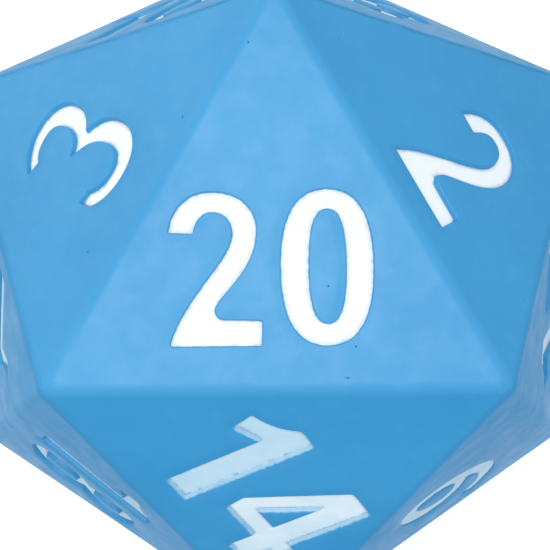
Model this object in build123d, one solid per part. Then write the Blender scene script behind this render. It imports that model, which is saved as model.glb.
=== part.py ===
"""Twenty-sided gaming die: one soft moulded body with a tapered recess for every numeral digit, and a
thin layer of white paint in the floor of each recess. It stands on the face opposite the 20."""
from build123d import *
import math
import os

# Driving dimensions, in millimetres
edge_length = 58.0          # side of each triangular face, measured to the sharp corners
edge_radius = 2.4           # rounding along every edge and over every corner
recess_depth = 0.8          # numeral floor below the face
wall_slope = 15.0           # degrees that a recess wall leans outwards from upright
paint_thickness = 0.15      # white layer on the recess floor
pair_base_gap = 5.6         # lower edge of a two-digit number to the face's lower edge
pair_side_gap = 2.0         # upper corner of the widest two-digit number to the slanted edge
pair_digit_gap = 2.5        # between the two digits
single_base_gap = 5.6       # the same two gaps for a one-digit number
single_side_gap = 6.6
face_clearance = 0.05       # how far a recess cutter stands above the face
parts_folder = "parts"

# Digit outlines on a digit height of 1. A contour starts at a point; after it, two numbers are a
# straight line to that point, and six are a Bezier curve with two control points and its end.
ZERO = [
    [(0, 0.5), (0, 0.83, 0.1, 1, 0.294, 1), (0.49, 1, 0.588, 0.83, 0.588, 0.5),
     (0.588, 0.17, 0.49, 0, 0.294, 0), (0.1, 0, 0, 0.17, 0, 0.5)],
    [(0.168, 0.5), (0.168, 0.78, 0.21, 0.885, 0.297, 0.885), (0.385, 0.885, 0.426, 0.78, 0.426, 0.5),
     (0.426, 0.24, 0.385, 0.128, 0.297, 0.128), (0.21, 0.128, 0.168, 0.24, 0.168, 0.5)],
]
ONE = [
    [(0.24, 0), (0.455, 0), (0.455, 1), (0.3, 1), (0.22, 0.89, 0.11, 0.83, 0, 0.8),
     (0.03, 0.65), (0.24, 0.74), (0.24, 0)],
]
TWO = [
    [(0.01, 0), (0.588, 0), (0.594, 0.15), (0.352, 0.157), (0.3, 0.16, 0.272, 0.205, 0.292, 0.25),
     (0.33, 0.335, 0.556, 0.5, 0.556, 0.735),
     (0.556, 0.89, 0.44, 0.983, 0.27, 0.983), (0.11, 0.983, 0.02, 0.87, 0, 0.732), (0.146, 0.728),
     (0.165, 0.82, 0.21, 0.867, 0.277, 0.867), (0.36, 0.867, 0.414, 0.81, 0.414, 0.715),
     (0.414, 0.55, 0.1, 0.31, 0.01, 0)],
]
THREE = [
    [(0, 0.835), (0.08, 0.94, 0.19, 1, 0.3, 1), (0.46, 1, 0.56, 0.91, 0.56, 0.77),
     (0.56, 0.66, 0.51, 0.58, 0.42, 0.535), (0.53, 0.49, 0.59, 0.4, 0.59, 0.29),
     (0.59, 0.12, 0.47, 0, 0.29, 0), (0.17, 0, 0.07, 0.04, 0.01, 0.12), (0, 0.215), (0.075, 0.205),
     (0.12, 0.14, 0.18, 0.11, 0.26, 0.11), (0.37, 0.11, 0.43, 0.18, 0.43, 0.28),
     (0.43, 0.4, 0.37, 0.47, 0.24, 0.535), (0.37, 0.57, 0.41, 0.64, 0.41, 0.74),
     (0.41, 0.83, 0.36, 0.885, 0.27, 0.885), (0.19, 0.885, 0.13, 0.86, 0.095, 0.815), (0, 0.835)],
]
FOUR = [
    [(0.385, 0), (0.595, 0), (0.595, 0.2), (0.675, 0.2), (0.675, 0.345), (0.595, 0.345), (0.595, 1),
     (0.355, 1), (0, 0.34), (0.02, 0.2), (0.385, 0.2), (0.385, 0)],
    [(0.385, 0.345), (0.385, 0.765), (0.155, 0.345), (0.385, 0.345)],
]
FIVE = [
    [(0.1, 1), (0.54, 1), (0.54, 0.86), (0.24, 0.86), (0.225, 0.61), (0.26, 0.62, 0.29, 0.625, 0.32, 0.625),
     (0.49, 0.625, 0.59, 0.5, 0.59, 0.33), (0.59, 0.13, 0.46, 0, 0.26, 0), (0.16, 0, 0.07, 0.02, 0.01, 0.06),
     (0.01, 0.2), (0.07, 0.155, 0.14, 0.13, 0.22, 0.13), (0.34, 0.13, 0.41, 0.2, 0.41, 0.31),
     (0.41, 0.43, 0.34, 0.5, 0.21, 0.5), (0.16, 0.5, 0.11, 0.49, 0.07, 0.47), (0.1, 1)],
]
SIX = [
    [(0.54, 0.97), (0.5, 0.99, 0.45, 1, 0.39, 1), (0.14, 1, 0, 0.76, 0, 0.43), (0, 0.15, 0.11, 0, 0.31, 0),
     (0.49, 0, 0.61, 0.13, 0.61, 0.32), (0.61, 0.5, 0.51, 0.62, 0.35, 0.62),
     (0.28, 0.62, 0.21, 0.6, 0.165, 0.54), (0.18, 0.74, 0.27, 0.87, 0.41, 0.87),
     (0.46, 0.87, 0.5, 0.86, 0.54, 0.84), (0.54, 0.97)],
    [(0.165, 0.31), (0.165, 0.19, 0.22, 0.125, 0.31, 0.125), (0.39, 0.125, 0.44, 0.2, 0.44, 0.31),
     (0.44, 0.42, 0.39, 0.49, 0.31, 0.49), (0.22, 0.49, 0.165, 0.42, 0.165, 0.31)],
]
SEVEN = [
    [(0, 1), (0.6, 1), (0.6, 0.89), (0.44, 0.6, 0.33, 0.3, 0.29, 0), (0.1, 0),
     (0.15, 0.32, 0.26, 0.6, 0.42, 0.855), (0, 0.855), (0, 1)],
]
EIGHT = [
    [(0.3, 1), (0.47, 1, 0.57, 0.91, 0.57, 0.77), (0.57, 0.65, 0.52, 0.58, 0.44, 0.53),
     (0.55, 0.48, 0.61, 0.39, 0.61, 0.28), (0.61, 0.11, 0.49, 0, 0.3, 0), (0.11, 0, 0, 0.11, 0, 0.28),
     (0, 0.39, 0.05, 0.48, 0.16, 0.53), (0.08, 0.58, 0.03, 0.65, 0.03, 0.77),
     (0.03, 0.91, 0.13, 1, 0.3, 1)],
    [(0.3, 0.88), (0.22, 0.88, 0.19, 0.82, 0.19, 0.76), (0.19, 0.68, 0.24, 0.62, 0.3, 0.6),
     (0.36, 0.62, 0.41, 0.68, 0.41, 0.76), (0.41, 0.82, 0.38, 0.88, 0.3, 0.88)],
    [(0.3, 0.45), (0.21, 0.42, 0.17, 0.36, 0.17, 0.28), (0.17, 0.17, 0.22, 0.12, 0.3, 0.12),
     (0.38, 0.12, 0.43, 0.17, 0.43, 0.28), (0.43, 0.36, 0.39, 0.42, 0.3, 0.45)],
]
NINE = [[tuple((0.61, 1)[i % 2] - value for i, value in enumerate(step)) for step in contour]
        for contour in SIX]     # a six turned half round
DIGITS = {"0": ZERO, "1": ONE, "2": TWO, "3": THREE, "4": FOUR, "5": FIVE, "6": SIX, "7": SEVEN,
          "8": EIGHT, "9": NINE}
WIDEST_PAIR = "20"          # sets the height that every two-digit number shares
WIDEST_SINGLE = "4"         # sets the height that every single digit shares
EXTRA_ROOM = {"1": 0.09}
PLACE_NAMES = {1: ("digit",), 2: ("tens", "units")}

# Corners of the icosahedron, in rings of three: first angle in degrees, radius and height per edge
GOLDEN = (1 + math.sqrt(5)) / 2
NEAR_RADIUS = 1 / math.sqrt(3)
NEAR_HEIGHT = GOLDEN ** 2 / (2 * math.sqrt(3))      # also the distance from the centre to every face
FAR_RADIUS = GOLDEN / math.sqrt(3)
FAR_HEIGHT = NEAR_HEIGHT - NEAR_RADIUS
RINGS = {
    "top": (90, NEAR_RADIUS, NEAR_HEIGHT),
    "upper": (30, FAR_RADIUS, FAR_HEIGHT),
    "lower": (90, FAR_RADIUS, -FAR_HEIGHT),
    "base": (30, NEAR_RADIUS, -NEAR_HEIGHT),
}

# Every face's number: the corner that it points up to, then the face's other two corners
FACES = {
    20: ("top0", "top1", "top2"),
    3: ("upper1", "top0", "top1"),
    2: ("upper0", "top0", "top2"),
    14: ("top2", "top1", "upper2"),
    16: ("lower0", "top0", "upper1"),
    8: ("top0", "upper0", "lower0"),
    12: ("lower1", "top1", "upper1"),
    17: ("top2", "lower2", "upper0"),
    18: ("upper2", "top1", "lower1"),
    6: ("lower2", "top2", "upper2"),
    5: ("base0", "upper0", "lower0"),
    10: ("upper0", "lower2", "base0"),
    11: ("base1", "upper1", "lower0"),
    4: ("upper1", "lower1", "base1"),
    9: ("base2", "upper2", "lower1"),
    15: ("upper2", "lower2", "base2"),
    7: ("base0", "lower0", "base1"),
    19: ("base1", "lower1", "base2"),
    13: ("base2", "lower2", "base0"),
    1: ("base2", "base0", "base1"),
}
# Numerals off their usual place or height: how far to the right, how far up, and the stretch upwards
USUAL = (0, 0, 1)
SHIFTS = {20: (-0.6, 0, 1), 3: (-0.35, 1.9, 1.04), 2: (1.7, -1.1, 1.1), 14: (0.85, -0.9, 1.01),
          6: (2.2, 3.1, 1.12), 18: (1.4, -0.35, 1), 12: (1.8, 0, 1)}


def corners(edge):
    """The twelve corners of an icosahedron of this edge length, centred on the origin, by name."""
    places = {}
    for name, (first, radius, height) in RINGS.items():
        for i in range(3):
            angle = math.radians(first + 120 * i)
            places[f"{name}{i}"] = edge * Vector(
                radius * math.cos(angle), radius * math.sin(angle), height)
    return places


def face_plane(number):
    """The plane of a number's face, with x to the right and y towards the top of the number. Its
    origin is the middle of the face's lower edge."""
    places = corners(edge_length)
    apex, first, second = (places[name] for name in FACES[number])
    outward = apex + first + second
    middle = (first + second) * 0.5
    up = apex - middle
    return Plane(origin=middle, x_dir=up.cross(outward), z_dir=outward)


def digit_height(widest, gap, base_gap, side_gap):
    """The height at which the widest numeral just keeps its gaps to the face's three edges. widest
    is its width per unit height, without the gap between its digits."""
    rise, run = math.sin(math.radians(60)), math.cos(math.radians(60))
    room = edge_length / 2 * rise - gap / 2 * rise - base_gap * run - side_gap
    return room / (widest / 2 * rise + run)


def width_of(digit):
    """A digit's width per unit height, with the extra room that a 1 has on its right."""
    outline_width = max(step[-2] for step in DIGITS[digit][0])
    return outline_width + EXTRA_ROOM.get(digit, 0)


def contour_nodes(contour, size):
    """A contour as curves: lists of two or four control points, in millimetres. size is what one unit
    of the contour measures across and up."""
    across, up = size
    curves = []
    start = Vector(contour[0][0] * across, contour[0][1] * up)
    for step in contour[1:]:
        points = [start] + [Vector(step[i] * across, step[i + 1] * up) for i in range(0, len(step), 2)]
        curves.append(points)
        start = points[-1]
    return curves


def unit_normal(start, end):
    """The unit normal to the right of the way from start to end."""
    way = (end - start).normalized()
    return Vector(way.Y, -way.X)


def moved_out(curves, distance):
    """The same closed chain of curves, moved outwards by a distance, corner by corner."""
    turn = sum(c[0].X * c[-1].Y - c[-1].X * c[0].Y for c in curves)
    side = distance if turn > 0 else -distance
    nodes = []
    for i, curve in enumerate(curves):
        before = curves[i - 1]
        arriving = unit_normal(before[-2], before[-1])
        leaving = unit_normal(curve[0], curve[1])
        mitre = (arriving + leaving) * (1 / max(1 + arriving.dot(leaving), 0.5))
        nodes.append(curve[0] + mitre * side)
    moved = []
    for i, curve in enumerate(curves):
        start, end = nodes[i], nodes[(i + 1) % len(nodes)]
        if len(curve) == 2:
            moved.append([start, end])
            continue
        stretch = (end - start).length / (curve[-1] - curve[0]).length
        moved.append([start, start + (curve[1] - curve[0]) * stretch,
                      end + (curve[2] - curve[3]) * stretch, end])
    return moved


def wire_of(curves, level):
    """The closed wire of a chain of curves, at a level above the digit's own plane."""
    lift = Vector(0, 0, level)
    edges = []
    for curve in curves:
        points = [point + lift for point in curve]
        edges.append(Edge.make_line(*points) if len(points) == 2 else Edge.make_bezier(*points))
    return Wire(edges)


def tapered(contour, size, low, high, lean):
    """A solid between two levels whose walls lean outwards by lean at the high level."""
    curves = contour_nodes(contour, size)
    wires = [wire_of(curves, low), wire_of(moved_out(curves, lean), high)]
    return Solid.make_loft(wires, ruled=True)


def layer(digit, size, top):
    """A digit's recess from its floor up to a level, without the islands that stand inside it."""
    lean = (top + recess_depth) * math.tan(math.radians(wall_slope))
    outer, *islands = DIGITS[digit]
    solid = tapered(outer, size, -recess_depth, top, lean)
    for island in islands:
        solid = solid - tapered(island, size, -recess_depth, top, -lean)
    return solid


def recess(digit, size):
    """What a digit's recess takes out of its face, and a little past it."""
    return layer(digit, size, face_clearance)


def paint(digit, size):
    """The white layer on the recess floor, which meets the foot of the walls."""
    return layer(digit, size, paint_thickness - recess_depth)


def number_places(number):
    """Each digit of a number as its node's name, the digit, its size and its place on the face."""
    text = str(number)
    if len(text) == 1:
        digit_gap, base_gap = 0, single_base_gap
        height = digit_height(width_of(WIDEST_SINGLE), 0, base_gap, single_side_gap)
    else:
        digit_gap, base_gap = pair_digit_gap, pair_base_gap
        widest = sum(width_of(digit) for digit in WIDEST_PAIR)
        height = digit_height(widest, digit_gap, base_gap, pair_side_gap)
    across, up, stretch = SHIFTS.get(number, USUAL)
    widths = [width_of(digit) * height for digit in text]
    spare = EXTRA_ROOM.get(text[-1], 0) * height
    x = across - (sum(widths) + digit_gap * (len(text) - 1) - spare) / 2
    places = []
    for place, digit, width in zip(PLACE_NAMES[len(text)], text, widths):
        name = f"number_{number:02d}_{place}_fill"
        places.append((name, digit, (height, height * stretch), Location((x, base_gap + up, 0))))
        x += width + digit_gap
    return places


def main():
    face_height = NEAR_HEIGHT * edge_length
    inner_edge = edge_length * (face_height - edge_radius) / face_height
    body = offset(ConvexPolyhedron(corners(inner_edge).values()), amount=edge_radius, kind=Kind.ARC)
    nodes = {}
    for number in FACES:
        plane = face_plane(number)
        for name, digit, size, place in number_places(number):
            body = body - plane.location * place * recess(digit, size)
            nodes[name] = plane.location * place * paint(digit, size)
    nodes["die_body"] = body
    os.makedirs(parts_folder, exist_ok=True)
    for name, solid in nodes.items():
        solid = Location((0, 0, face_height)) * solid
        export_step(solid, f"{parts_folder}/{name}.step")


main()
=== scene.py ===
import math
import random

import bpy
import numpy as np
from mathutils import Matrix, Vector, noise
from mathutils.geometry import delaunay_2d_cdt


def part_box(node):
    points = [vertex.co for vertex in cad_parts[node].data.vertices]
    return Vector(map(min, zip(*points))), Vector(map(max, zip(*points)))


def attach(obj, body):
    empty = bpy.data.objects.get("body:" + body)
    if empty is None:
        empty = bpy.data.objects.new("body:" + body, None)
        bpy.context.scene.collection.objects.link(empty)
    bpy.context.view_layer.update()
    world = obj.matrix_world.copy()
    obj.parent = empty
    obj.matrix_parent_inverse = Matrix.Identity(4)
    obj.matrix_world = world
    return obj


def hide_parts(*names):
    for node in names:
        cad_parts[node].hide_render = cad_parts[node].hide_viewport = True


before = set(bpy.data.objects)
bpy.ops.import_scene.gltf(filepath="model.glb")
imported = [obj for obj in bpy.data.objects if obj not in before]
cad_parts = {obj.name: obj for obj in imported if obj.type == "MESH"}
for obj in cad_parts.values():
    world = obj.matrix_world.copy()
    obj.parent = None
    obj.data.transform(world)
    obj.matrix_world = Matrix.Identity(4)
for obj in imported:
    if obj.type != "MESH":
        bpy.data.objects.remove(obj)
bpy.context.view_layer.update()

MM = 0.001

# ------------------------------------------------------------ the die's shape, read from the frame

GOLDEN = (1 + math.sqrt(5)) / 2
NEAR_RADIUS = 1 / math.sqrt(3)
NEAR_HEIGHT = GOLDEN ** 2 / (2 * math.sqrt(3))
FAR_RADIUS = GOLDEN / math.sqrt(3)
FAR_HEIGHT = NEAR_HEIGHT - NEAR_RADIUS
SLIMNESS = FAR_RADIUS / NEAR_HEIGHT
HALF_BEND = math.acos(math.sqrt(5) / 3) / 2     # half the angle between neighbouring faces' normals

body_low, body_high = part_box("die_body")
inradius = (body_high.z - body_low.z) / 2
edge = inradius / NEAR_HEIGHT
cad_radius = (SLIMNESS * inradius - (body_high.y - body_low.y) / 2) / (SLIMNESS - 1)
centre = np.array([0, 0, body_low.z + inradius])

RINGS = {
    "top": (90, NEAR_RADIUS, NEAR_HEIGHT),
    "upper": (30, FAR_RADIUS, FAR_HEIGHT),
    "lower": (90, FAR_RADIUS, -FAR_HEIGHT),
    "base": (30, NEAR_RADIUS, -NEAR_HEIGHT),
}
corners = {}
for ring, (first, radius, height) in RINGS.items():
    for i in range(3):
        angle = math.radians(first + 120 * i)
        place = (radius * math.cos(angle), radius * math.sin(angle), height)
        corners[f"{ring}{i}"] = centre + edge * np.array(place)

# The mould's halves meet along five edges, a ring round one corner
SEAM = ["top0", "upper0", "base0", "base1", "upper1"]
SEAM_EDGES = [frozenset((SEAM[i - 1], SEAM[i])) for i in range(5)]
SEAM_HUB = "lower0"

# Sizes of the surface's details, in metres
WALL = 0.22 * MM            # width of a recess's steep wall
LIP = 1.6 * MM              # how far round a recess the face sags towards it
SAG = 0.14 * MM             # how deep it sags, inside the recess's own depth
EXTRA_ROUNDING = 0.3        # edges are up to this share rounder than in CAD
UNEVENNESS = 0.22 * MM      # depth of the faces' slow waves
GRAIN = 0.015 * MM
SEAM_DEPTH = 0.2 * MM
SEAM_WIDTH = 0.12 * MM
SEAM_WANDER = 0.22 * MM
PAINT_REACH = 0.06 * MM     # how far a paint layer's rim runs into the wall, on average
PAINT_RAGGED = 0.03 * MM    # how far that rim wanders either way
THINNEST = 1e-4 * MM ** 2   # smallest area of a triangle that is kept, in the plane of its face
PAINT = 0.12 * MM           # thickness of paint over the recess floor
PAINT_ROOT = 0.06 * MM      # how far a paint layer reaches below the surface
SPRAY_DRIFT = 0.2 * MM      # how far soft spray lands past the numeral's front rim
RIM_STEPS = 116             # places along each side of a face
WIDE_STEP = 1.0 * MM        # point spacing of the open faces
FINE_STEP = 0.4 * MM        # point spacing round the numerals
WALL_ROWS = [-0.1, 0, 0.05, 0.1, 0.15, 0.2, 0.26, 0.4]      # millimetres out from a numeral
EDGE_ROWS = [0, 0.25, 0.45, 0.65, 0.85, 1.05, 1.3, 1.6]     # millimetres in from an edge
CRISP = ("20", "03", "02")              # numbers whose paint has a clean rim
SHALLOW = {"06": 0.45, "14": 0.75}      # numbers pressed less deep, with their share of the depth
FULL = ("20",)                          # numbers whose paint climbs the recess walls
WORN = ("number_14_tens_fill",)         # digits with the thinnest paint
TOP_PITS = [(-3.2, 26.1), (6.4, -4.0), (9.7, -11.4), (8.7, -15.2)]  # on the 20's face, in millimetres
PIT_CLEARANCE = 1.6 * MM    # a scattered pit stays this far from edges and numerals
PIT_RINGS = [(0.35, 6), (0.7, 8), (1.0, 10), (1.5, 10)]     # share of a pit's radius, points round it
FLOOR_RADIUS = 1.45 * edge
FLOOR_SIDES = 96


def slow_noise(points, size, seed):
    """Smooth noise from -1 to 1 at each point, with features of the given size."""
    shift = Vector((seed * 7.3, seed * 3.1, seed * 5.7))
    return np.array([noise.noise(Vector(p) / size + shift) for p in points])


def smooth_step(t):
    t = np.clip(t, 0, 1)
    return t * t * (3 - 2 * t)


class Outline:
    """The flat outline of one digit, read from the lowest level of its CAD fill."""

    def __init__(self, node, to_plane):
        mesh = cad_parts[node].data
        points = to_plane(np.array([v.co for v in mesh.vertices]))
        self.depth = -points[:, 2].min()
        floor = points[:, 2] < -self.depth + 0.02 * MM
        keys = {}
        merged = [keys.setdefault((round(x, 7), round(y, 7)), len(keys)) for x, y, _ in points]
        flat = np.array(list(keys))
        sides = {}
        for polygon in mesh.polygons:
            if not all(floor[i] for i in polygon.vertices):
                continue
            ring = [merged[i] for i in polygon.vertices]
            for a, b in zip(ring, ring[1:] + ring[:1]):
                sides[(a, b)] = True
        rim = [(a, b) for a, b in sides if (b, a) not in sides and a != b]
        self.starts = flat[[a for a, b in rim]]
        self.ends = flat[[b for a, b in rim]]
        self.loops = self.chain(rim, flat)
        self.low = np.minimum(self.starts, self.ends).min(0)
        self.high = np.maximum(self.starts, self.ends).max(0)

    def moved(self, loop, step, amounts):
        """The loop with points about a step apart, moved outwards by an amount for each point."""
        points = resample(loop, step)
        ahead = np.roll(points, -1, axis=0) - np.roll(points, 1, axis=0)
        normal = np.stack([ahead[:, 1], -ahead[:, 0]], axis=1)
        normal /= np.linalg.norm(normal, axis=1)[:, None]
        if self.distance(points[:1] + normal[:1] * 0.05 * MM)[0] < 0:
            normal = -normal
        return points + normal * amounts(points)[:, None]

    @staticmethod
    def chain(rim, flat):
        following = dict(rim)
        loops = []
        while following:
            first, current = following.popitem()
            loop = [first]
            while current != first:
                loop.append(current)
                current = following.pop(current)
            loops.append(flat[loop])
        return loops

    def distance(self, points):
        """Distance to the outline, negative inside the digit."""
        far = np.full(len(points), 1.0)
        near = np.all((points > self.low - 4 * MM) & (points < self.high + 4 * MM), axis=1)
        p = points[near][:, None, :]
        a, b = self.starts[None], self.ends[None]
        way = b - a
        along = np.clip(((p - a) * way).sum(2) / (way * way).sum(2), 0, 1)
        gap = np.linalg.norm(p - a - along[..., None] * way, axis=2).min(1)
        above = (a[..., 1] > p[..., 1]) != (b[..., 1] > p[..., 1])
        rise = np.where(above, b[..., 1] - a[..., 1], 1)
        crossing = a[..., 0] + (p[..., 1] - a[..., 1]) * way[..., 0] / rise
        inside = (above & (p[..., 0] < crossing)).sum(1) % 2 == 1
        far[near] = np.where(inside, -gap, gap)
        return far


class Face:
    """One face: its plane, the digits on it and the height of the surface at any point of it."""

    def __init__(self, names):
        a, b, c = (corners[name] for name in names)
        out = (a + b + c) / 3 - centre
        if np.dot(np.cross(b - a, c - a), out) < 0:
            names = (names[0], names[2], names[1])
            b, c = c, b
        self.names = names
        self.origin = (a + b + c) / 3
        self.z = out / np.linalg.norm(out)
        self.x = (b - a) / np.linalg.norm(b - a)
        self.y = np.cross(self.z, self.x)
        self.flat = self.to_plane(np.array([a, b, c]))[:, :2]
        self.outlines = {}
        self.pits = []
        self.spray = 0.0
        self.share = 1.0
        self.bare_wall = 1.0

    def to_plane(self, points):
        away = points - self.origin
        return np.stack([away @ self.x, away @ self.y, away @ self.z], axis=1)

    def to_space(self, flat):
        return self.origin + flat[:, :1] * self.x + flat[:, 1:2] * self.y

    def sides(self):
        for i in range(3):
            j = (i + 1) % 3
            yield frozenset((self.names[i], self.names[j])), self.flat[i], self.flat[j]

    def edge_distances(self, flat):
        """Distance to each of the three sides, one column each."""
        columns = []
        for _, start, end in self.sides():
            way = (end - start) / np.linalg.norm(end - start)
            columns.append((flat - start) @ np.array([-way[1], way[0]]))
        return np.stack(columns, axis=1)

    def digit_distance(self, flat):
        gap = np.full(len(flat), 1.0)
        for outline in self.outlines.values():
            gap = np.minimum(gap, outline.distance(flat))
        return gap

    def rounded(self, flat, sharp):
        """The point and the outward direction of the rounded solid for each point of the sharp face."""
        radius = cad_radius * (1 + EXTRA_ROUNDING * (0.5 + 0.5 * slow_noise(sharp, 14 * MM, 1)))
        pull = radius * math.tan(HALF_BEND)
        gaps = self.edge_distances(flat)
        inner = flat.copy()
        best = np.full(len(flat), 1.0)
        outside = (gaps < pull[:, None]).any(1)
        shrink = (1 - pull / (edge * NEAR_RADIUS / 2))[:, None]
        for _, start, end in self.sides():
            s, e = start * shrink, end * shrink
            way = e - s
            along = np.clip(((flat - s) * way).sum(1) / (way * way).sum(1), 0, 1)[:, None]
            candidate = s + along * way
            reach = np.linalg.norm(flat - candidate, axis=1)
            closer = outside & (reach < best)
            best[closer] = reach[closer]
            inner[closer] = candidate[closer]
        hub = self.to_space(inner) - self.z * radius[:, None]
        outward = sharp - hub
        outward /= np.linalg.norm(outward, axis=1)[:, None]
        return hub + outward * radius[:, None], outward

    def seam(self, flat, sharp):
        """How deep the parting line cuts at each point, from 0 to 1."""
        cut = np.zeros(len(flat))
        side = 1 if SEAM_HUB in self.names else -1
        gaps = self.edge_distances(flat)
        for column, (key, _, _) in enumerate(self.sides()):
            if key not in SEAM_EDGES:
                continue
            wander = SEAM_WANDER * slow_noise(sharp, 5 * MM, 3)
            strength = 0.12 + 0.88 * smooth_step((slow_noise(sharp, 4 * MM, 4) + 0.3) / 0.4)
            off = (side * gaps[:, column] - wander) / SEAM_WIDTH
            cut = np.maximum(cut, strength * np.exp(-off ** 2))
        return cut

    def pit_shade_mask(self, flat):
        # Where the pits are; the foam's colour uses this only to paint shade into their hollows
        mark = np.zeros(len(flat))
        for x, y, radius, depth in self.pits:
            reach = np.hypot(flat[:, 0] - x, flat[:, 1] - y) / radius
            mark = np.maximum(mark, np.clip(1 - reach ** 2, 0, 1) ** 1.5)
        return mark

    def spray_gap(self, flat):
        """Distance to the numerals as the spray gun saw them, a little towards the front."""
        drift = np.array([-self.x[1], -self.y[1]])
        length = np.linalg.norm(drift)
        if length < 0.3 or self.spray < 0.5 or self.z[2] < 0.6:
            return np.full(len(flat), 1.0)
        return self.digit_distance(flat - drift / length * SPRAY_DRIFT)

    def surface(self, flat, on_floor=False):
        """Places on the finished surface with what the materials need to know about each. With
        on_floor, the recesses' walls are left out and their floors go on."""
        sharp = self.to_space(flat)
        place, outward = self.rounded(flat, sharp)
        gap = self.digit_distance(flat)
        seam = self.seam(flat, sharp)
        pit = self.pit_shade_mask(flat)
        sink = UNEVENNESS * (0.5 + 0.5 * slow_noise(sharp, 24 * MM, 5))
        sink += GRAIN * (1 + slow_noise(sharp, 2.2 * MM, 6))
        sink += SEAM_DEPTH * seam
        if self.outlines:
            depth = self.share * max(outline.depth for outline in self.outlines.values())
            out = np.minimum(gap, 0) if on_floor else gap
            sink += (depth - SAG) * (1 - smooth_step(out / WALL)) + SAG * (1 - smooth_step(out / LIP))
        for x, y, radius, deep in self.pits:
            reach = np.hypot(flat[:, 0] - x, flat[:, 1] - y) / radius
            sink += deep * np.clip(1 - reach ** 2, 0, 1) ** 1.5
        facts = {
            "digit_gap": gap,
            "spray_gap": self.spray_gap(flat),
            "bare_wall": np.full(len(flat), self.bare_wall),
            "seam": seam,
            "pit": pit,
            "edge_gap": np.maximum(self.edge_distances(flat).min(1), 0),
        }
        return place - outward * sink[:, None], outward, facts

    def rim_key(self, point):
        """What names a point on the face's rim: a corner, or a place along a side. None elsewhere."""
        for key, start, end in self.sides():
            way = (end - start) / edge
            along = (point - start) @ way
            if np.linalg.norm(point - start - along * way) < 0.001 * MM:
                first, last = sorted(key)
                if self.flat_of(first) @ way > self.flat_of(last) @ way:
                    along = edge - along
                step = round(along / edge * RIM_STEPS)
                return (first, last, step) if 0 < step < RIM_STEPS else (last if step else first,)
        return None

    def flat_of(self, name):
        return self.flat[list(self.names).index(name)]


def resample(loop, step):
    """The same closed loop with points about a step apart, keeping its own points."""
    points = []
    for start, end in zip(loop, np.roll(loop, -1, axis=0)):
        count = max(1, round(float(np.linalg.norm(end - start)) / step))
        points += [start + (end - start) * i / count for i in range(count)]
    return np.array(points)


def find_faces():
    names = list(corners)
    found = []
    for i, a in enumerate(names):
        for j, b in enumerate(names[i + 1:], i + 1):
            for c in names[j + 1:]:
                lengths = [np.linalg.norm(corners[p] - corners[q]) for p, q in ((a, b), (b, c), (a, c))]
                if max(lengths) < edge * 1.01:
                    found.append(Face((a, b, c)))
    return found


def place_digits(faces):
    """Gives each face the CAD fills that lie on it. Returns the fills as (node, face)."""
    fills = []
    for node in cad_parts:
        if node == "die_body":
            continue
        low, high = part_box(node)
        middle = np.array((low + high) / 2) - centre
        face = max(faces, key=lambda f: float(f.z @ middle))
        face.outlines[node] = Outline(node, face.to_plane)
        number = node.split("_")[1]
        face.spray = 0.0 if number in CRISP else 1.0
        face.share = SHALLOW.get(number, 1.0)
        face.bare_wall = 0.0 if number in FULL else 1.0
        fills.append((node, face))
    return fills


def add_pits(face, draw):
    """Scatters a few small pits over the open part of a face."""
    for _ in range(6):
        x, y = draw.uniform(-0.5, 0.5) * edge, draw.uniform(-0.3, 0.6) * edge
        radius, deep = draw.uniform(0.1, 0.2) * MM, draw.uniform(0.1, 0.25) * MM
        spot = np.array([[x, y]])
        clear = min(face.edge_distances(spot).min(), face.digit_distance(spot)[0])
        if clear > PIT_CLEARANCE:
            face.pits.append((x, y, radius, deep))


def grid(low, high, step):
    """A triangular lattice of points over a rectangle."""
    rise = step * math.sqrt(3) / 2
    rows = np.arange(low[1], high[1] + rise, rise)
    columns = np.arange(low[0], high[0] + step, step)
    x, y = np.meshgrid(columns, rows)
    x = x + (np.arange(len(rows)) % 2)[:, None] * step / 2
    return np.stack([x.ravel(), y.ravel()], axis=1)


def triangulate(points, sides=()):
    """Delaunay triangles of flat points. Returns the points used and the triangles."""
    found = delaunay_2d_cdt([Vector(p) for p in points], list(sides), [], 0, 1e-7)
    return np.array([tuple(p) for p in found[0]]), [tuple(t) for t in found[2]]


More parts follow.
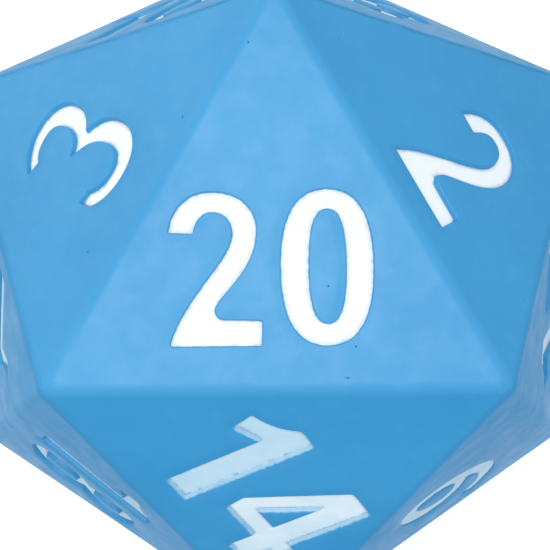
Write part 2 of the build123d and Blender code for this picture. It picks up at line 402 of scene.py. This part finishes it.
def face_points(face):
    """The flat points that a face's mesh goes through, and the rows along its sides as chains."""
    points, chains = [], []
    for key, start, end in face.sides():
        steps = RIM_STEPS if key in SEAM_EDGES else RIM_STEPS // 2
        way = end - start
        inward = np.array([-way[1], way[0]]) / np.linalg.norm(way)
        for row in EDGE_ROWS:
            distance = row * MM
            reach = distance * math.sqrt(3)     # keeps a row clear of the other two sides' rows
            chains += [(len(points) + i, len(points) + i + 1) for i in range(steps)]
            for t in np.linspace(0, 1, steps + 1):
                along = reach + t * (edge - 2 * reach)
                points.append(start + way / edge * along + inward * distance)
    rows = np.array(points)
    low, high = face.flat.min(0), face.flat.max(0)
    wide = grid(low, high, WIDE_STEP)
    wide = wide[face.edge_distances(wide).min(1) > (EDGE_ROWS[-1] + 0.5) * MM]
    wide_gap = face.digit_distance(wide)
    wide = wide[(wide_gap > 1.9 * MM) | (wide_gap < -0.7 * MM)]
    fine = grid(low, high, FINE_STEP)
    fine = fine[face.edge_distances(fine).min(1) > (EDGE_ROWS[-1] + 0.15) * MM]
    fine_gap = face.digit_distance(fine)
    outer = (fine_gap < 1.7 * MM) & (fine_gap > 0.6 * MM)
    fine = fine[outer | ((fine_gap < -0.3 * MM) & (fine_gap > -0.8 * MM))]
    walls = []
    for outline in face.outlines.values():
        for loop in outline.loops:
            for row in WALL_ROWS:
                ring = outline.moved(loop, 0.3 * MM, lambda spots: np.full(len(spots), row * MM))
                first = len(rows) + sum(len(wall) for wall in walls)
                chains += [(first + i, first + (i + 1) % len(ring)) for i in range(len(ring))]
                walls.append(ring)
    spots = []
    for x, y, radius, _ in face.pits:
        spots.append((x, y))
        for reach, number in PIT_RINGS:
            for i in range(number):
                turn = 2 * math.pi * i / number
                spots.append((x + reach * radius * math.cos(turn), y + reach * radius * math.sin(turn)))
    parts = [rows] + walls + [wide, fine] + ([np.array(spots)] if spots else [])
    return np.concatenate(parts), chains


def new_object(name, points, polygons, facts=None):
    mesh = bpy.data.meshes.new(name)
    mesh.from_pydata([tuple(p) for p in points], [], polygons)
    for fact, values in (facts or {}).items():
        attribute = mesh.attributes.new(fact, "FLOAT", "POINT")
        attribute.data.foreach_set("value", np.asarray(values, np.float32))
    mesh.shade_smooth()
    mesh.validate()
    thing = bpy.data.objects.new(name, mesh)
    bpy.context.scene.collection.objects.link(thing)
    return thing


# What the foam's material knows about each point; the gaps are distances
GAPS = ("digit_gap", "spray_gap", "edge_gap")
FACTS = GAPS + ("bare_wall", "seam", "pit")


def make_body(faces):
    """The whole moulded body as one closed mesh."""
    keys, places, polygons = {}, [], []
    facts = {fact: [] for fact in FACTS}
    for face in faces:
        flat, triangles = triangulate(*face_points(face))
        points, _, known = face.surface(flat)
        index = []
        for i, point in enumerate(points):
            key = face.rim_key(flat[i]) if known["edge_gap"][i] < 0.001 * MM else None
            if key in keys:
                index.append(keys[key])
                continue
            if key is not None:
                keys[key] = len(places)
            index.append(len(places))
            places.append(point)
            for fact in FACTS:
                facts[fact].append(known[fact][i])
        for triangle in triangles:
            one, two, three = flat[list(triangle)]
            if abs(np.cross(two - one, three - one)) > THINNEST * 2:
                polygons.append([index[i] for i in triangle])
    for fact in GAPS:
        facts[fact] = np.array(facts[fact]) / MM
    body = new_object("moulded_body", places, polygons, facts)
    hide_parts("die_body")
    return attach(body, "root")


def make_paint(node, face, seed):
    """The layer of paint on the floor of one digit's recess. Its rim runs just into the wall."""
    outline = face.outlines[node]
    rim, sides = [], []
    for loop in outline.loops:
        first = sum(len(r) for r in rim)
        points = outline.moved(loop, 0.25 * MM, lambda flat: PAINT_REACH + PAINT_RAGGED * slow_noise(
            face.to_space(flat), 1.6 * MM, seed))
        rim.append(points)
        sides += [(first + i, first + (i + 1) % len(points)) for i in range(len(points))]
    inside = grid(outline.low, outline.high, 0.5 * MM)
    inside = inside[outline.distance(inside) < -0.25 * MM]
    flat, triangles = triangulate(np.concatenate(rim + [inside]), sides)
    middles = np.array([flat[list(t)].mean(0) for t in triangles])
    kept = outline.distance(middles) < 0.1 * MM
    triangles = [t for t, keep in zip(triangles, kept) if keep]
    used = {}
    for a, b, c in triangles:
        for side in ((a, b), (b, c), (c, a)):
            used[side] = True
    border = [(a, b) for a, b in used if (b, a) not in used]
    on_rim = np.zeros(len(flat), bool)
    on_rim[[a for a, b in border]] = True
    points, outward, _ = face.surface(flat, on_floor=True)
    inward_gap = -outline.distance(flat)
    lift = PAINT * smooth_step((inward_gap + 0.1 * MM) / (0.45 * MM))
    lift += 0.02 * MM * slow_noise(face.to_space(flat), 1.6 * MM, seed + 1)
    lift = np.where(on_rim, 0.004 * MM, np.maximum(lift, 0.02 * MM))
    top = points + outward * lift[:, None]
    low = points - outward * PAINT_ROOT
    count = len(flat)
    polygons = [list(t) for t in triangles] + [[i + count for i in t[::-1]] for t in triangles]
    for a, b in border:
        polygons.append([b, a, a + count, b + count])
    gap = np.concatenate([inward_gap, inward_gap]) / MM
    gap[:count][on_rim] = -0.08
    name = node.replace("_fill", "_paint")
    layer = new_object(name, np.concatenate([top, low]), polygons, {"rim_gap": gap})
    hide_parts(node)
    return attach(layer, "root")


# ------------------------------------------------------------------------------------- materials

class Nodes:
    """Short names for adding and joining shader nodes."""

    def __init__(self, name):
        self.material = bpy.data.materials.new(name)
        self.material.use_nodes = True
        self.tree = self.material.node_tree
        self.shader = self.tree.nodes["Principled BSDF"]

    def add(self, kind, **settings):
        node = self.tree.nodes.new("ShaderNode" + kind)
        for key, value in settings.items():
            if hasattr(node, key):
                setattr(node, key, value)
            else:
                node.inputs[key.replace("_", " ").title()].default_value = value
        return node

    def join(self, source, target):
        self.tree.links.new(source, target)

    def fact(self, name):
        return self.add("Attribute", attribute_name=name).outputs["Fac"]

    def noise(self, scale, detail=3.0, rough=0.55, stretch=(1, 1, 1)):
        place = self.add("TexCoord").outputs["Object"]
        mapping = self.add("Mapping")
        mapping.inputs["Scale"].default_value = stretch
        self.join(place, mapping.inputs["Vector"])
        texture = self.add("TexNoise")
        texture.inputs["Scale"].default_value = scale
        texture.inputs["Detail"].default_value = detail
        texture.inputs["Roughness"].default_value = rough
        self.join(mapping.outputs["Vector"], texture.inputs["Vector"])
        return texture.outputs["Fac"]

    def span(self, value, low, high, to_low=0.0, to_high=1.0):
        """value from low..high mapped to to_low..to_high, clamped and smoothed."""
        node = self.add("MapRange", interpolation_type="SMOOTHSTEP")
        self.join(value, node.inputs["Value"])
        for key, number in (("From Min", low), ("From Max", high), ("To Min", to_low), ("To Max", to_high)):
            node.inputs[key].default_value = number
        return node.outputs["Result"]

    def sum(self, a, b, operation="ADD"):
        node = self.add("Math", operation=operation)
        for socket, value in zip(node.inputs, (a, b)):
            if isinstance(value, (int, float)):
                socket.default_value = value
            else:
                self.join(value, socket)
        return node.outputs[0]

    def mix(self, amount, first, second):
        node = self.add("Mix", data_type="RGBA")
        factor, a, b = node.inputs[0], node.inputs[6], node.inputs[7]
        for socket, value in ((factor, amount), (a, first), (b, second)):
            if isinstance(value, (int, float)):
                socket.default_value = value
            elif isinstance(value, tuple):
                socket.default_value = (*value, 1)
            else:
                self.join(value, socket)
        return node.outputs[2]

    def bump(self, height, distance, strength, under=None):
        node = self.add("Bump")
        node.inputs["Distance"].default_value = distance
        node.inputs["Strength"].default_value = strength
        self.join(height, node.inputs["Height"])
        if under is not None:
            self.join(under, node.inputs["Normal"])
        return node.outputs["Normal"]


FOAM_BLUE = (0.036, 0.296, 0.58)
FOAM_DEEP = (0.029, 0.27, 0.545)
FOAM_PALE = (0.12, 0.41, 0.7)
SEAM_GREY = (0.02, 0.09, 0.18)
# painted shade for the hollows of the pits, which are also real dents in the mesh
PIT_SHADE = (0.015, 0.07, 0.15)
PAINT_WHITE = (0.84, 0.88, 0.9)
PAINT_THIN = (0.45, 0.66, 0.78)


def foam_material():
    m = Nodes("foam_skin")
    broad = m.span(m.noise(45, 3), 0.3, 0.7)
    colour = m.mix(broad, FOAM_DEEP, FOAM_BLUE)
    mottle = m.span(m.noise(420, 4, 0.65), 0.52, 0.8, 0, 0.14)
    colour = m.mix(mottle, colour, FOAM_PALE)
    feather = m.span(m.noise(260, 5, 0.7, (1, 0.3, 0.6)), 0.58, 0.78)
    patches = m.span(m.noise(60, 2), 0.5, 0.66)
    rubbed = m.sum(m.sum(feather, patches, "MULTIPLY"), 0.18, "MULTIPLY")
    colour = m.mix(rubbed, colour, FOAM_PALE)
    worn_edge = m.span(m.fact("edge_gap"), 0.0, 1.6, 0.06, 0)
    colour = m.mix(worn_edge, colour, FOAM_PALE)
    grain = m.noise(1500, 3, 0.6)
    ragged = m.sum(m.fact("spray_gap"), m.span(grain, 0.3, 0.7, -0.1, 0.1), "ADD")
    colour = m.mix(m.span(ragged, -0.1, 0.42, 0.75, 0), colour, PAINT_THIN)
    climb = m.sum(m.sum(m.fact("digit_gap"), m.span(grain, 0.3, 0.7, -0.03, 0.03), "ADD"),
                  m.sum(m.fact("bare_wall"), 0.2, "MULTIPLY"), "ADD")
    colour = m.mix(m.span(climb, 0.04, 0.1, 1, 0), colour, PAINT_WHITE)
    colour = m.mix(m.span(m.fact("seam"), 0.15, 0.9, 0, 0.75), colour, SEAM_GREY)
    # painted shade: the pits' hollows are darkened in the colour, on top of their real dents
    colour = m.mix(m.span(m.fact("pit"), 0.05, 0.7, 0, 0.75), colour, PIT_SHADE)
    m.join(colour, m.shader.inputs["Base Color"])
    rough = m.span(m.noise(300, 4), 0.3, 0.7, 0.38, 0.48)
    m.join(m.sum(rough, m.sum(rubbed, 0.4, "MULTIPLY"), "ADD"), m.shader.inputs["Roughness"])
    fine = m.bump(m.noise(5200, 3, 0.6), 0.02 * MM, 0.35)
    coarse = m.bump(m.noise(900, 4, 0.6), 0.08 * MM, 0.3, fine)
    m.join(m.bump(feather, 0.03 * MM, 0.2, coarse), m.shader.inputs["Normal"])
    m.shader.inputs["Specular IOR Level"].default_value = 0.47
    return m.material


def paint_material(name, fuzz, thick, thin):
    """White paint. fuzz is the width in millimetres over which its rim breaks up. thick and thin are
    how much of the blue shows through where the paint is best and where it is worst."""
    m = Nodes(name)
    grain = m.noise(1900, 3, 0.65)
    uneven = m.span(m.noise(140, 3, 0.5), 0.35, 0.7, thick, thin)
    colour = m.mix(uneven, PAINT_WHITE, PAINT_THIN)
    ragged = m.sum(m.fact("rim_gap"), m.span(grain, 0.3, 0.7, -fuzz, fuzz), "ADD")
    bare = m.span(ragged, -0.08, 0.05 + fuzz * 1.2, 0.3, 0)
    colour = m.mix(bare, colour, FOAM_BLUE)
    m.join(colour, m.shader.inputs["Base Color"])
    m.join(m.span(grain, 0.3, 0.7, 0.5, 0.7), m.shader.inputs["Roughness"])
    m.join(m.bump(m.noise(3400, 3, 0.6), 0.03 * MM, 0.3), m.shader.inputs["Normal"])
    return m.material


def floor_material():
    m = Nodes("pale_floor")
    m.shader.inputs["Base Color"].default_value = (0.93, 0.93, 0.93, 1)
    m.shader.inputs["Roughness"].default_value = 0.9
    m.shader.inputs["Emission Color"].default_value = (1, 1, 1, 1)
    m.shader.inputs["Emission Strength"].default_value = 0.25
    return m.material


# ------------------------------------------------------------------------------ stage and camera

def make_stage():
    turns = [2 * math.pi * i / FLOOR_SIDES for i in range(FLOOR_SIDES)]
    rim = [(FLOOR_RADIUS * math.cos(t), FLOOR_RADIUS * math.sin(t), 0) for t in turns]
    floor = new_object("floor", rim, [list(range(FLOOR_SIDES))])
    floor.location.z = body_low.z - 0.02 * MM
    floor.data.materials.append(floor_material())


def add_lamp(name, place, size, power):
    lamp = bpy.data.lights.new(name, "AREA")
    lamp.shape = "DISK"
    lamp.size = size
    lamp.energy = power
    holder = bpy.data.objects.new(name, lamp)
    holder.location = place
    aim = Vector(centre) - Vector(place)
    holder.rotation_euler = aim.to_track_quat("-Z", "Y").to_euler()
    bpy.context.scene.collection.objects.link(holder)


def make_lights():
    world = bpy.data.worlds.new("studio")
    world.use_nodes = True
    tree = world.node_tree
    height = tree.nodes.new("ShaderNodeVectorMath")     # how far up the sky, tilted to the back
    height.operation = "DOT_PRODUCT"
    height.inputs[1].default_value = (-0.12, 0.3, 0.95)
    ramp = tree.nodes.new("ShaderNodeValToRGB")
    tree.links.new(tree.nodes.new("ShaderNodeTexCoord").outputs["Generated"], height.inputs[0])
    lift = tree.nodes.new("ShaderNodeMapRange")
    for key, number in (("From Min", -1), ("From Max", 1)):
        lift.inputs[key].default_value = number
    tree.links.new(height.outputs["Value"], lift.inputs["Value"])
    tree.links.new(lift.outputs["Result"], ramp.inputs["Fac"])
    dark, bright = ramp.color_ramp.elements
    dark.position, bright.position = 0.3, 0.6
    dark.color, bright.color = (0.19, 0.46, 0.66, 1), (0.8, 0.81, 0.83, 1)
    tree.links.new(ramp.outputs["Color"], tree.nodes["Background"].inputs["Color"])
    bpy.context.scene.world = world
    add_lamp("overhead", (-0.4 * edge, 0.4 * edge, 7.5 * edge), 4.7 * edge, 0.7)
    add_lamp("side", (-5 * edge, 4 * edge, 1.6 * edge), 4 * edge, 0.12)


def make_camera():
    camera = bpy.data.cameras.new("camera")
    camera.lens = 80.9
    camera.sensor_width = 36
    camera.clip_start = 0.01
    holder = bpy.data.objects.new("camera", camera)
    holder.location = Vector(centre) + edge * Vector((-0.0187, -0.1448, 3.356))
    holder.rotation_euler = [math.radians(a) for a in (2.21, -0.35, -0.45)]
    bpy.context.scene.collection.objects.link(holder)
    bpy.context.scene.camera = holder


# ----------------------------------------------------------------------------------- the assembly

faces = find_faces()
fills = place_digits(faces)
draw = random.Random(20)
top = max(faces, key=lambda f: f.z[2])
for face in faces:
    if face is not top:
        add_pits(face, draw)
for spot in TOP_PITS:
    x, y, _ = top.to_plane(np.array([[spot[0] * MM, spot[1] * MM, body_high.z]]))[0]
    top.pits.append((x, y, 0.12 * MM, 0.2 * MM))
body = make_body(faces)
body.data.materials.append(foam_material())
crisp_paint = paint_material("paint_crisp", 0.02, 0, 0.08)
soft_paint = paint_material("paint_soft", 0.2, 0.25, 0.6)
worn_paint = paint_material("paint_worn", 0.2, 0.8, 1)
for number, (node, face) in enumerate(fills):
    layer = make_paint(node, face, 11 + 2 * number)
    crisp = node.split("_")[1] in CRISP
    layer.data.materials.append(crisp_paint if crisp else worn_paint if node in WORN else soft_paint)
make_stage()
make_lights()
make_camera()
bpy.context.scene.view_settings.view_transform = "Standard"
